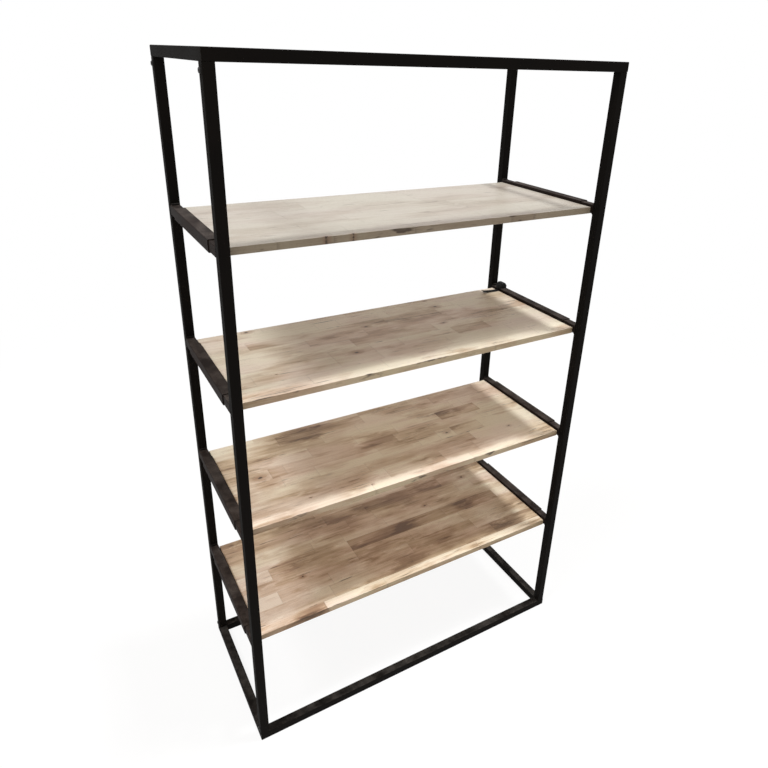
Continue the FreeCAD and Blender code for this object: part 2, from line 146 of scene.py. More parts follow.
def mix_colour(tree, share, first, second, blend="MIX"):
    node = add_node(tree, "ShaderNodeMix", data_type="RGBA", blend_type=blend)
    feed_all(tree, [node.inputs[k] for k in MIX_SOCKETS], (share, first, second))
    return node.outputs[MIX_RESULT]


def ramp_up(tree, value, low, high, to_low=0.0, to_high=1.0):
    """Carries value from low..high to to_low..to_high along a soft curve."""
    node = add_node(tree, "ShaderNodeMapRange", interpolation_type="SMOOTHSTEP")
    feed_all(tree, node.inputs[:RAMP_SOCKETS], (value, low, high, to_low, to_high))
    return node.outputs[0]


print("a number goes to a socket, and an output is linked to it")


# %% Noise, and values that a mesh carries
def noise_at(tree, place, lumps, detail=3.0, roughness=0.5):
    """Noise with so many lumps per metre: one number, or one for each axis."""
    scaled = add_node(tree, "ShaderNodeVectorMath", operation="MULTIPLY")
    feed(tree, scaled.inputs[0], place)
    scaled.inputs[1].default_value = lumps if isinstance(lumps, tuple) else (lumps,) * 3
    node = add_node(tree, "ShaderNodeTexNoise")
    feed(tree, node.inputs["Vector"], scaled.outputs[0])
    for name, value in (("Scale", 1.0), ("Detail", detail), ("Roughness", roughness)):
        node.inputs[name].default_value = value
    return node.outputs["Fac"]


def parts_of(tree, vector):
    node = add_node(tree, "ShaderNodeSeparateXYZ")
    feed(tree, node.inputs[0], vector)
    return node.outputs


def own_value(tree, name, kind="Fac"):
    """Reads a value that the mesh carries at its points."""
    return add_node(tree, "ShaderNodeAttribute", attribute_name=name).outputs[kind]


def facing_up(tree):
    """1 on a face that looks straight up, 0 on an upright one and -1 on one that looks down."""
    return parts_of(tree, add_node(tree, "ShaderNodeNewGeometry").outputs["Normal"])["Z"]


def seen_directly(tree):
    """1 where the eye meets this straight, in a mirror or through glass, 0 where it is light."""
    rays = add_node(tree, "ShaderNodeLightPath").outputs
    by_way = calc(tree, "MAXIMUM", rays["Is Glossy Ray"], rays["Is Transmission Ray"])
    return calc(tree, "MAXIMUM", rays["Is Camera Ray"], by_way)


print("noise is laid out in lumps per metre")

# %% Groups, materials and bumps
FLOAT, VECTOR = "NodeSocketFloat", "NodeSocketVector"


def new_group(name, inputs, outputs):
    """A node group with named sockets: (name, kind, default) to go in, and numbers to come out."""
    tree = bpy.data.node_groups.new(name, "ShaderNodeTree")
    for label, kind, default in inputs:
        socket = tree.interface.new_socket(label, in_out="INPUT", socket_type=kind)
        if default is not None:
            socket.default_value = default
    for label in outputs:
        tree.interface.new_socket(label, in_out="OUTPUT", socket_type=FLOAT)
    given, made = add_node(tree, "NodeGroupInput"), add_node(tree, "NodeGroupOutput")
    return tree, given.outputs, made.inputs


def use_group(tree, group, **values):
    """Places a group in a material and sets its inputs by name, with _ for a space."""
    node = add_node(tree, "ShaderNodeGroup", node_tree=group)
    for name, value in values.items():
        feed(tree, node.inputs[name.replace("_", " ")], value)
    return node.outputs


def new_material(name):
    """A material with its tree, its surface and the place of a point on its piece in metres."""
    material = bpy.data.materials.new(name)
    material.use_nodes = True
    tree = material.node_tree
    place = add_node(tree, "ShaderNodeTexCoord").outputs["Object"]
    return material, tree, tree.nodes["Principled BSDF"], place


def add_bump(tree, surface, height, distance):
    bump = add_node(tree, "ShaderNodeBump")
    bump.inputs["Distance"].default_value = distance
    feed(tree, bump.inputs["Height"], height)
    feed(tree, surface.inputs["Normal"], bump.outputs[0])


print("group sockets:", FLOAT, VECTOR)

# %% [markdown]
# ## Effects that several finishes share
# Sprayed powder melts into a skin with a faint orange-peel ripple, and blackened screws and
# moulded plastic have the same kind of skin at other scales. Corners of handled metal are rubbed
# a little brighter than the flats. Faces that look up take a lighter layer: settled dust, and a
# painted sheen where those top faces catch the light. Each of these is one node group, built once
# and placed in each material with its own numbers, so that a change to the group changes every
# finish that uses it.

# %% Group: skin of a coating
RIPPLES, BLOTCHES = "Ripples per Metre", "Blotches per Metre"
coat_skin, given, made = new_group(
    "skin of a coating",
    [("Place", VECTOR, None), (RIPPLES, FLOAT, 700.0), (BLOTCHES, FLOAT, 14.0)],
    ["Height", "Blotches"],
)
noises = {}
for scale, detail in ((RIPPLES, 2.0), (BLOTCHES, 4.0)):
    noise = add_node(coat_skin, "ShaderNodeTexNoise")
    feed(coat_skin, noise.inputs["Vector"], given["Place"])
    feed(coat_skin, noise.inputs["Scale"], given[scale])
    noise.inputs["Detail"].default_value = detail
    noises[scale] = noise.outputs["Fac"]
feed(coat_skin, made["Height"], noises[RIPPLES])
feed(coat_skin, made["Blotches"], ramp_up(coat_skin, noises[BLOTCHES], 0.35, 0.68))
print("group:", coat_skin.name)

# %% Group: rubbed edges
# the cosine between a face and its rounded normal, where the rubbing starts and where it is full
RUB_STARTS, RUB_IS_FULL = 0.99, 0.86
rubbed_edges, given, made = new_group(
    "rubbed edges",
    [("Place", VECTOR, None), ("Radius", FLOAT, 1 * MM), ("Amount", FLOAT, 0.5)],
    ["Mask"],
)
rounded = add_node(rubbed_edges, "ShaderNodeBevel", samples=4)
feed(rubbed_edges, rounded.inputs["Radius"], given["Radius"])
true_face = add_node(rubbed_edges, "ShaderNodeNewGeometry")
agree = add_node(rubbed_edges, "ShaderNodeVectorMath", operation="DOT_PRODUCT")
feed_all(rubbed_edges, agree.inputs, (rounded.outputs["Normal"], true_face.outputs["Normal"]))
edge = ramp_up(rubbed_edges, agree.outputs["Value"], RUB_STARTS, RUB_IS_FULL)
patches = noise_at(rubbed_edges, given["Place"], 45.0, detail=5.0)
rubbed = calc(rubbed_edges, "MULTIPLY", edge, ramp_up(rubbed_edges, patches, 0.42, 0.62))
feed(rubbed_edges, made["Mask"], calc(rubbed_edges, "MULTIPLY", rubbed, given["Amount"]))
print("group:", rubbed_edges.name)

# %% Group: dust and painted sheen
# the layer on faces that look up is settled dust and a painted sheen, both broken by the specks
BETWEEN_SPECKS = 0.4  # the share of the dust that lies between its specks
dust_and_sheen_group, given, made = new_group(
    "dust_and_painted_sheen", [("Place", VECTOR, None), ("Amount", FLOAT, 0.3)], ["Mask"]
)
looks_up = ramp_up(dust_and_sheen_group, facing_up(dust_and_sheen_group), 0.6, 0.98)
drift = noise_at(dust_and_sheen_group, given["Place"], 22.0, detail=6.0, roughness=0.6)
specks = noise_at(dust_and_sheen_group, given["Place"], 1500.0, detail=1.0)
specks = ramp_up(dust_and_sheen_group, specks, 0.5, 0.7)
specks = shift(dust_and_sheen_group, BETWEEN_SPECKS, specks, 1.0 - BETWEEN_SPECKS)
layer = calc(dust_and_sheen_group, "MULTIPLY", ramp_up(dust_and_sheen_group, drift, 0.3, 0.75), specks)
layer = calc(dust_and_sheen_group, "MULTIPLY", layer, looks_up)
feed(dust_and_sheen_group, made["Mask"], calc(dust_and_sheen_group, "MULTIPLY", layer, given["Amount"]))
print("group:", dust_and_sheen_group.name)

# %% [markdown]
# ## Black powder coat
# The tubes are sprayed with black powder and baked. The skin is nearly black with a warm cast,
# half matt, with a fine ripple. It could be one dark colour with one roughness, but then every
# reflection along a tall post would be as even as on a mirror. So the colour, the roughness and
# the bump all vary a little, and the corners are rubbed. The rails and the stubs that they slide
# over take a browner, lighter copy of the coat, which paints on them the warm sheen they catch
# from the left, and is a little glossier. The black screws and bolts have the same make-up, with
# finer ripples.

# %% Materials: the three black coats
BLOTCH_LIGHTER = 1.5


def make_coat(name, body, rubbed, dust_and_sheen, roughness, ripples, gloss):
    """A sprayed, semi-matt metal finish. Its colours are linear: body, rubbed, and the faces that
    look up, which take settled dirt and a painted sheen.
    """
    material, tree, surface, place = new_material(name)
    skin = use_group(
        tree, coat_skin, Place=place, Ripples_per_Metre=ripples, Blotches_per_Metre=9.0
    )
    wear = use_group(tree, rubbed_edges, Place=place, Radius=1.2 * MM, Amount=0.55)["Mask"]
    # faces that look up: settled dirt, and a painted sheen where they catch the light
    dust_and_sheen_share = use_group(tree, dust_and_sheen_group, Place=place, Amount=0.5)["Mask"]
    blotched = tuple(BLOTCH_LIGHTER * c for c in body)
    shade = mix_colour(tree, skin["Blotches"], body, blotched)
    shade = mix_colour(tree, wear, shade, rubbed)
    feed(tree, surface.inputs["Base Color"], mix_colour(tree, dust_and_sheen_share, shade, dust_and_sheen))
    rough = shift(tree, roughness, skin["Blotches"], 0.1)
    rough = shift(tree, rough, wear, -0.12)
    feed(tree, surface.inputs["Roughness"], shift(tree, rough, dust_and_sheen_share, 0.5, clamp=True))
    surface.inputs["Specular IOR Level"].default_value = gloss
    add_bump(tree, surface, skin["Height"], 0.04 * MM)
    return material


powder_coat = make_coat(
    "black powder coat",
    body=(0.0036, 0.0029, 0.0024),
    rubbed=(0.025, 0.022, 0.019),
    dust_and_sheen=(0.165, 0.152, 0.142),
    roughness=0.72,
    ripples=900.0,
    gloss=0.05,
)
# a browner, lighter copy of the coat, a little glossier: painted warm sheen on the rails and stubs
rail_coat_painted_sheen = make_coat(
    "black powder coat, painted warm sheen",
    body=(0.0090, 0.0054, 0.0042),
    rubbed=(0.050, 0.040, 0.034),
    dust_and_sheen=(0.240, 0.205, 0.188),
    roughness=0.66,
    ripples=900.0,
    gloss=0.08,
)
black_oxide = make_coat(
    "black oxide screws",
    body=(0.010, 0.009, 0.0085),
    rubbed=(0.07, 0.066, 0.062),
    dust_and_sheen=(0.10, 0.09, 0.08),
    roughness=0.42,
    ripples=2600.0,
    gloss=0.3,
)
print("coats:", [coat.name for coat in (powder_coat, rail_coat_painted_sheen, black_oxide)])

# %% [markdown]
# ## Zinc-plated nuts and hidden screws
# The nuts inside the posts and the screws under the boards are bright zinc. Plating is a metal
# skin with a cloudy bloom, so the material is fully metallic and its roughness wanders.

# %% Material: zinc plating
BRIGHT_ZINC, BLOOMED_ZINC = (0.50, 0.50, 0.48), (0.36, 0.37, 0.37)
zinc, tree, surface, place = new_material("zinc plating")
skin = use_group(
    tree, coat_skin, Place=place, Ripples_per_Metre=1800.0, Blotches_per_Metre=240.0
)
shade = mix_colour(tree, skin["Blotches"], BRIGHT_ZINC, BLOOMED_ZINC)
feed(tree, surface.inputs["Base Color"], shade)
feed(tree, surface.inputs["Roughness"], shift(tree, 0.28, skin["Blotches"], 0.2))
surface.inputs["Metallic"].default_value = 1.0
add_bump(tree, surface, skin["Height"], 0.03 * MM)
print("material:", zinc.name)

# %% [markdown]
# ## Oiled hardwood, one stave at a time
# A shelf of this kind is glued from short staves of acacia. Each stave comes from another part of
# a tree, so its colour, its rings and its knots have nothing to do with its neighbour's. A single
# wood texture across the whole board would run through the joints and give it away. So the mesh
# carries, at every point, where that point lay in its own log, how far it is from the edges of
# its stave, how dark the stave is and where its knot sits, and one material reads all of that.
# Rings are the distance from the middle of the log, bent by noise, which gives straight lines,
# arches and end grain from one rule.

# %% Group: grain of a log
RING_SWAY, RING_SHIVER = 22 * MM, 4 * MM  # how far noise bends the rings
LATE_WOOD_SHARPNESS = 2.2
log_grain, given, made = new_group(
    "grain of a log",
    [("Place in Log", VECTOR, None), ("Ring Gap", FLOAT, 3.4 * MM), ("Knot Pull", FLOAT, 0.0)],
    ["Rings", "Streaks", "Fibres", "Pores"],
)
in_log = given["Place in Log"]
_, across, deep = parts_of(log_grain, in_log)
sway = noise_at(log_grain, in_log, (3.0, 16.0, 16.0))
shiver = noise_at(log_grain, in_log, (14.0, 90.0, 90.0), detail=2.0)
bent_across = shift(log_grain, across, sway, RING_SWAY)
bent_across = calc(log_grain, "ADD", bent_across, given["Knot Pull"])
bent_deep = shift(log_grain, deep, shiver, RING_SHIVER)
from_pith = distance(log_grain, bent_across, bent_deep)
rings_out = calc(log_grain, "DIVIDE", from_pith, given["Ring Gap"])
wave = calc(log_grain, "SINE", calc(log_grain, "MULTIPLY", rings_out, math.tau))
late_wood = calc(log_grain, "POWER", shift(log_grain, 0.5, wave, 0.5), LATE_WOOD_SHARPNESS)
streaks = noise_at(log_grain, in_log, (4.0, 120.0, 120.0), detail=5.0, roughness=0.6)
fibres = noise_at(log_grain, in_log, (60.0, 2600.0, 2600.0), detail=2.0)
dashes = noise_at(log_grain, in_log, (260.0, 3400.0, 3400.0), detail=1.0)
feed(log_grain, made["Rings"], late_wood)
feed(log_grain, made["Streaks"], streaks)
feed(log_grain, made["Fibres"], fibres)
feed(log_grain, made["Pores"], ramp_up(log_grain, dashes, 0.64, 0.74))
print("group:", log_grain.name)

# %% [markdown]
# A knot is where a branch left the trunk. It is dark in its core and browns the wood around it,
# and the rings part to pass it. All of that follows from one distance, counted in the knot's own
# radii, on an oval that is longer along the grain.

# %% Material: hardwood, its knots
KNOT_OVAL = 0.62  # a knot's width as a share of its length
KNOT_RAGGED, KNOT_RAGGED_IN = 4.5 * MM, -2 * MM
KNOT_PULL = -6 * MM
hardwood, tree, surface, place = new_material("jointed hardwood")
in_stave, half_stave, knot = (
    parts_of(tree, own_value(tree, name, "Vector")) for name in ("in_stave", "half_stave", "knot")
)
knot_along = calc(tree, "SUBTRACT", in_stave["X"], knot["X"])
knot_across = calc(tree, "SUBTRACT", in_stave["Y"], knot["Y"])
knot_far = distance(tree, calc(tree, "MULTIPLY", knot_along, KNOT_OVAL), knot_across)
ragged = shift(tree, KNOT_RAGGED_IN, noise_at(tree, place, 180.0), KNOT_RAGGED)
knot_far = calc(tree, "DIVIDE", calc(tree, "ADD", knot_far, ragged), knot["Z"])
knot_core = ramp_up(tree, knot_far, 0.95, 0.35)
knot_halo = ramp_up(tree, knot_far, 3.4, 0.7)
pull = calc(tree, "MULTIPLY", knot_halo, KNOT_PULL)
pull = calc(tree, "MULTIPLY", calc(tree, "SIGN", knot_across), pull)
log_at = own_value(tree, "log_at", "Vector")
grain = use_group(tree, log_grain, Place_in_Log=log_at, Knot_Pull=pull)
print("the log's grain gives:", [output.name for output in grain])

# %% [markdown]
# Each stave has its tone, a number from 0 for sapwood to 1 for dark heartwood. Streaks, clouds,
# stains and bleached patches push it up or down from place to place, and one row of colours turns
# the sum into wood. A slow change of hue, from yellower to pinker, runs over that.

# %% Material: hardwood, its tones
WOOD_TONES = (
    (0.00, (0.860, 0.810, 0.700)),  # sapwood, cream
    (0.25, (0.740, 0.650, 0.540)),  # pale straw
    (0.50, (0.590, 0.470, 0.345)),  # tan
    (0.75, (0.380, 0.270, 0.180)),  # brown
    (1.00, (0.170, 0.105, 0.062)),  # dark heartwood
)
YELLOWER, PINKER = (1.0, 0.985, 0.925), (1.0, 0.93, 0.92)
streaks = ramp_up(tree, grain["Streaks"], 0.34, 0.66, -0.5, 0.5)
clouds = noise_at(tree, place, (4.5, 13.0, 13.0), detail=3.0, roughness=0.55)
clouds = ramp_up(tree, clouds, 0.34, 0.66, -0.5, 0.5)
stains = noise_at(tree, place, (8.0, 38.0, 60.0), detail=4.0, roughness=0.6)
stains = ramp_up(tree, stains, 0.54, 0.70)
bleached = noise_at(tree, place, (16.0, 48.0, 90.0), detail=4.0, roughness=0.6)
bleached = ramp_up(tree, bleached, 0.56, 0.70)
depth = own_value(tree, "tone")
for mark, darker in (
    (streaks, 0.18), (clouds, 0.56), (stains, 0.30), (bleached, -0.24), (knot_halo, 0.22),
):
    depth = shift(tree, depth, mark, darker)
tones = add_node(tree, "ShaderNodeValToRGB")
stops = tones.color_ramp.elements
while len(stops) < len(WOOD_TONES):
    stops.new(0.5)
for stop, (position, colour) in zip(stops, WOOD_TONES):
    stop.position = position
    stop.color = (*colour, 1.0)
feed(tree, tones.inputs["Fac"], depth)
hue = ramp_up(tree, noise_at(tree, place, (4.0, 11.0, 11.0)), 0.38, 0.62)
hue = mix_colour(tree, hue, YELLOWER, PINKER)
shade = mix_colour(tree, 1.0, tones.outputs["Color"], hue, "MULTIPLY")
print("wood tones:", len(WOOD_TONES))

# %% [markdown]
# Wood that dries too fast splits along its grain. These checks come in crowds, and more of them
# where a stain is deep. The glue lines are thin everywhere, and open to a dark crack here and
# there along a stave's side, so their width and their darkness follow the same noise.

# %% Material: hardwood, its checks and glue lines
CHECKS_IN_STAINS = 0.045
FEWEST_CHECKS = 0.12
GLUE_LINE, OPENS_BY = 0.3 * MM, 1.6 * MM
GLUE_DARK, OPENING_DARKER, END_DARK = 0.24, 0.66, 0.45
checks = noise_at(tree, log_at, (11.0, 300.0, 300.0), detail=2.0, roughness=0.55)
checks = ramp_up(tree, shift(tree, checks, stains, CHECKS_IN_STAINS), 0.635, 0.690)
crowds = noise_at(tree, place, (5.0, 13.0, 13.0), detail=3.0, roughness=0.6)
checks = calc(tree, "MULTIPLY", checks, ramp_up(tree, crowds, 0.47, 0.60, FEWEST_CHECKS, 1.0))

open_here = noise_at(tree, place, (11.0, 40.0, 40.0), detail=3.0, roughness=0.6)
open_here = ramp_up(tree, open_here, 0.60, 0.68)
to_side, to_end = (
    calc(tree, "SUBTRACT", half_stave[axis], calc(tree, "ABSOLUTE", in_stave[axis]))
    for axis in ("Y", "X")
)
in_lines = calc(tree, "DIVIDE", to_side, shift(tree, GLUE_LINE, open_here, OPENS_BY))
side_line = ramp_up(tree, in_lines, 1.0, 0.25)
side_line = calc(tree, "MULTIPLY", side_line, shift(tree, GLUE_DARK, open_here, OPENING_DARKER))
end_line = ramp_up(tree, to_end, 0.5 * MM, 0.1 * MM)
glue_line = calc(tree, "MAXIMUM", side_line, calc(tree, "MULTIPLY", end_line, END_DARK))
print("glue line:", GLUE_LINE, "m, open to", round(GLUE_LINE + OPENS_BY, 4), "m")

# %% [markdown]
# The marks are then laid over the tones one by one: first a grey over the tones of the board that
# has haze, then, as on the real board, the grain, the knots, the checks and the glue. The upright
# sides come out darker and greener: partly their own stain, partly painted shade, as less light
# falls on them than on the tops.

# %% Material: hardwood, its layers
# upright faces darker and greener: the sides' own stain, and painted shade
upright_stain_and_shade = ramp_up(tree, calc(tree, "ABSOLUTE", facing_up(tree)), 0.8, 0.3)
WOOD_LAYERS = (
    (own_value(tree, "haze"), 1.0, (0.345, 0.331, 0.304), "MIX"),
    (grain["Rings"], 0.16, (0.72, 0.62, 0.52), "MULTIPLY"),
    (grain["Fibres"], 0.20, (0.70, 0.62, 0.55), "MULTIPLY"),
    (grain["Pores"], 0.55, (0.10, 0.062, 0.038), "MIX"),
    (knot_halo, 0.35, (0.30, 0.15, 0.085), "MIX"),
    (knot_core, 0.92, (0.030, 0.019, 0.013), "MIX"),
    (checks, 0.8, (0.075, 0.046, 0.028), "MIX"),
    (glue_line, 1.0, (0.050, 0.031, 0.020), "MIX"),
    # the upright sides: stain and painted shade
    (upright_stain_and_shade, 0.85, (0.56, 0.50, 0.385), "MULTIPLY"),
)
for mark, strength, colour, blend in WOOD_LAYERS:
    shade = mix_colour(tree, calc(tree, "MULTIPLY", mark, strength), shade, colour, blend)
feed(tree, surface.inputs["Base Color"], shade)

rough = shift(tree, 0.36, grain["Fibres"], 0.14)
rough = shift(tree, rough, grain["Pores"], 0.2)
feed(tree, surface.inputs["Roughness"], shift(tree, rough, upright_stain_and_shade, 0.2, clamp=True))
surface.inputs["Specular IOR Level"].default_value = 0.4
relief = 0.0
cracks = calc(tree, "MAXIMUM", glue_line, checks)
for mark, height in (
    (grain["Fibres"], 0.25), (grain["Rings"], 0.3), (grain["Pores"], -0.9), (cracks, -2.0),
):
    relief = shift(tree, relief, mark, height)
add_bump(tree, surface, relief, 0.12 * MM)
print("layers over the tones:", len(WOOD_LAYERS))

# %% [markdown]
# ## Gluing up a board
# In the workshop, staves are finger-jointed end to end into long strips, the strips are glued side
# by side into a panel, and the panel is sanded and cut to size. The same order makes the mesh. The
# fingers lie flat, so the top shows plain straight joints and only the front and back edges show
# the zigzag. Each stave is one closed block whose outline, zigzag included, is drawn as seen from
# the front and then carried from the stave's front side to its back side.

# %% Lay out the staves of one board
STRIP_WIDTH = 44.5 * MM
WIDEST_STRIP = 1.3  # the last strip at most, in strip widths
STAVE_LENGTHS = (0.09, 0.34)
SHORTEST_STAVE = 0.05
EXTRA_JOINT_CHANCE = 0.5
SAME_PLACE = 1e-6


def strip_sides(front, back, first_width):
    """Where the strips of a board meet, from the front: the first one is cut narrower."""
    sides = [front, front + first_width]
    while back - sides[-1] > STRIP_WIDTH * WIDEST_STRIP:
        sides.append(sides[-1] + STRIP_WIDTH)
    return [*sides, back]


def random_staves(left, right, chance, tones):
    """(start, end, tone) for staves of random length and tone, from left to right."""
    joints = [left]
    while right - joints[-1] > STAVE_LENGTHS[1]:
        joints.append(joints[-1] + chance.uniform(*STAVE_LENGTHS))
    if right - joints[-1] > 2 * SHORTEST_STAVE and chance.random() < EXTRA_JOINT_CHANCE:
        longest = right - joints[-1] - SHORTEST_STAVE
        joints.append(joints[-1] + chance.uniform(SHORTEST_STAVE, longest))
    joints.append(right)
    return [(a, b, chance.choice(tones)) for a, b in zip(joints, joints[1:])]


def staves_of_strip(left, right, chosen, chance, tones):
    """(start, end, tone) for one strip: the chosen staves, with random ones between them."""
    staves, at = [], left
    for start, end, tone in chosen:
        if start - at > SHORTEST_STAVE / 2:
            staves += random_staves(at, start, chance, tones)
            at = start
        staves.append((at, min(end, right), tone))
        at = min(end, right)
    if right - at > SAME_PLACE:
        staves += random_staves(at, right, chance, tones)
    return staves


print("strip width:", STRIP_WIDTH, "m, staves", STAVE_LENGTHS, "m long")

# %% Shape one stave
FINGERS = 4
FINGER_DEPTH = 9 * MM
GLUE_GROOVE = 0.2 * MM
BOARD_EDGE = 0.6 * MM


def joint_line(x, low, high, is_end):
    """The points of a joint from top to bottom: a zigzag, or a plain cut at a board's end."""
    if is_end:
        return [(x, high - BOARD_EDGE), (x, low + BOARD_EDGE)]
    step = (high - low) / (2 * FINGERS)
    points = [(x, high - GLUE_GROOVE)]
    for k in range(1, 2 * FINGERS):
        points.append((x + (FINGER_DEPTH if k % 2 else 0.0), high - k * step))
    return [*points, (x, low + GLUE_GROOVE)]


def edge_cut(outside):
    """How much is taken off an edge: more outside than along a glue line."""
    return BOARD_EDGE if outside else GLUE_GROOVE


def stave_block(verts, faces, span, depth, height, at_end, at_side):
    """Adds one closed block to verts and faces, and returns how many points it took."""
    (x0, x1), (y0, y1), (low, high) = span, depth, height
    in_left, in_right = (edge_cut(outside) for outside in at_end)
    front, back = (edge_cut(outside) for outside in at_side)
    left, right = (joint_line(x, low, high, end) for x, end in ((x0, at_end[0]), (x1, at_end[1])))
    outline = [(x0 + in_left, high), (x1 - in_right, high), *right]
    outline += [(x1 - in_right, low), (x0 + in_left, low), *reversed(left)]
    sections = [(y0, front), (y0 + front, 0.0), (y1 - back, 0.0), (y1, back)]
    first, count = len(verts), len(outline)
    for y, ease in sections:
        for x, z in outline:
            verts.append((x, y, min(max(z, low + ease), high - ease)))
    for s in range(len(sections) - 1):
        for k in range(count):
            a, b = first + s * count + k, first + s * count + (k + 1) % count
            faces.append((a, a + count, b + count, b))
    faces.append(tuple(first + k for k in range(count)))
    faces.append(tuple(first + (len(sections) - 1) * count + k for k in reversed(range(count))))
    return len(sections) * count


print("fingers per joint:", FINGERS)

# %% [markdown]
# The four boards differ. The two lowest are the brownest and the third is pale: partly their own
# tone, partly a painted shade that is deeper the lower a board stands, as less light reaches it.
# The highest is pale too, and a grey is mixed over its tones, as much as haze says.
# Staves that catch the eye are listed, as (start, end, tone) in metres from the middle of
# the board, under the number of their strip, counted from the front. The rest are drawn at random
# from the board's own range of tones, always with the same seed. Some knots are listed as
# well, as (x, y, radius in mm).

# %% Plan the four boards
END = 0.457  # just past a board's end: a stave that reaches this far is cut off there
# The pale chosen staves along the front strips of the two lowest boards, and at the right ends of
# the second and third, also paint the light that falls on those bands.
BOARD_PLANS = {
    "shelf_1_board": {
        "seed": 5,
        "haze": 0.0,
        "first strip": 24.5 * MM,
        "tones": (0.34, 0.38, 0.42, 0.46, 0.50, 0.56),
        "knots": ((-0.290, -0.045, 3.2), (0.165, 0.055, 4.0)),
        "chosen": {
            0: (
                (-END, -0.275, 0.62), (-0.275, -0.10, 0.04), (-0.10, 0.21, 0.10), (0.21, END, 0.06),
            ),
            1: ((-END, -0.24, 0.42), (0.295, END, 0.66)),
            2: ((-END, -0.37, 0.06), (-0.37, -0.225, 0.46)),
            3: ((-0.125, 0.055, 0.56),),
            4: (
                (-END, -0.365, 0.06), (-0.365, -0.125, 0.44), (-0.125, 0.20, 0.84),
                (0.20, 0.40, 0.76),
            ),
            7: ((-0.01, 0.27, 0.64),),
        },
    },
    "shelf_2_board": {
        "seed": 12,
        "haze": 0.0,
        "first strip": 26.5 * MM,
        "tones": (0.16, 0.20, 0.24, 0.30, 0.35, 0.40),
        "knots": (
            (-0.375, 0.0, 6.0), (-0.139, -0.155, 2.6), (-0.293, -0.131, 1.5), (0.163, -0.039, 4.0),
        ),
        "chosen": {
            0: ((-END, -0.14, 0.12), (-0.14, 0.16, 0.08), (0.16, END, 0.14)),
            1: ((-END, -0.08, 0.18), (0.20, END, 0.12)),
            2: ((-END, -0.115, 0.30), (-0.115, 0.22, 0.42), (0.24, END, 0.06)),
            3: ((0.133, 0.185, 0.0), (0.28, END, 0.08)),
            4: ((-0.347, -0.307, 0.58), (-0.307, 0.02, 0.46), (0.31, END, 0.04)),
            5: ((0.04, 0.19, 0.10), (0.19, 0.33, 0.52), (0.33, END, 0.08)),
            6: ((0.30, END, 0.12),),
            7: ((-0.28, -0.02, 0.48), (-0.02, 0.22, 0.20), (0.22, 0.39, 0.44)),
        },
    },
    "shelf_3_board": {
        "seed": 23,
        "haze": 0.0,
        "first strip": 13 * MM,
        "tones": (0.0, 0.03, 0.06, 0.10, 0.15, 0.22),
        "knots": (
            (-0.379, -0.077, 2.0), (-0.347, -0.088, 1.4), (-0.044, 0.069, 4.5), (0.157, 0.003, 3.6),
        ),
        "chosen": {
            2: ((-0.20, -0.09, 0.36), (0.30, END, 0.0)),
            3: ((-0.20, -0.09, 0.30), (0.155, 0.26, 0.32)),
            4: ((-0.12, 0.12, 0.40), (0.34, END, 0.0)),
            5: ((-0.06, 0.20, 0.34),),
            6: ((-0.36, 0.02, 0.38), (0.02, 0.19, 0.30)),
            7: ((0.05, 0.26, 0.26),),
        },
    },
    "shelf_4_board": {
        "seed": 31,
        "haze": 0.74,
        "first strip": 24 * MM,
        "tones": (0.02, 0.06, 0.10, 0.16, 0.22, 0.28),
        "knots": ((-0.260, -0.177, 3.0), (-0.201, -0.177, 2.4)),
        "chosen": {4: ((-0.28, -0.10, 0.34),), 5: ((0.10, 0.34, 0.32),)},
    },
}
print("boards planned:", list(BOARD_PLANS))

# %% [markdown]
# A stave has no memory of its log, so its place there is drawn at random: how far the middle of
# the log was, and how the stave leaned in it. A few staves get a knot by chance. All this is
# stored as attributes of the mesh's points, which a material can read, and which stay with the
# points wherever the mesh goes.

# %% Write what the wood material reads
PITH_ASIDE = (-0.05, 0.05)
PITH_BELOW = (0.012, 0.07)
LOG_LENGTH = (0.0, 40.0)
LEAN = (-0.03, 0.03)
TONE_SPREAD = (-0.03, 0.03)
KNOT_CHANCE = 0.07
KNOT_ALONG, KNOT_ACROSS = (-0.7, 0.7), (-0.6, 0.6)  # as shares of half the stave
KNOT_RADII = (0.0028, 0.006)
NO_KNOT = (3.0, 3.0, 0.0005)  # a speck, far outside the stave


def store(mesh, name, values):
    """Keeps one number, or one (x, y, z), for each point of the mesh."""
    if isinstance(values[0], tuple):
        layer = mesh.attributes.new(name, "FLOAT_VECTOR", "POINT")
        layer.data.foreach_set("vector", [c for value in values for c in value])
    else:
        layer = mesh.attributes.new(name, "FLOAT", "POINT")
        layer.data.foreach_set("value", values)


def find_knot(strip, centre, half, named, chance):
    """(x, y, radius) of the stave's knot, from its middle: by chance, or as listed in the plan."""
    has_knot = chance.random() < KNOT_CHANCE and half[0] > SHORTEST_STAVE and strip > 0
    x, y = chance.uniform(*KNOT_ALONG) * half[0], chance.uniform(*KNOT_ACROSS) * half[1]
    found = (x, y, chance.uniform(*KNOT_RADII)) if has_knot else NO_KNOT
    for x, y, radius in named:
        if abs(x - centre[0]) < half[0] and abs(y - centre[1]) < half[1]:
            found = (x - centre[0], y - centre[1], radius * MM)
    return found


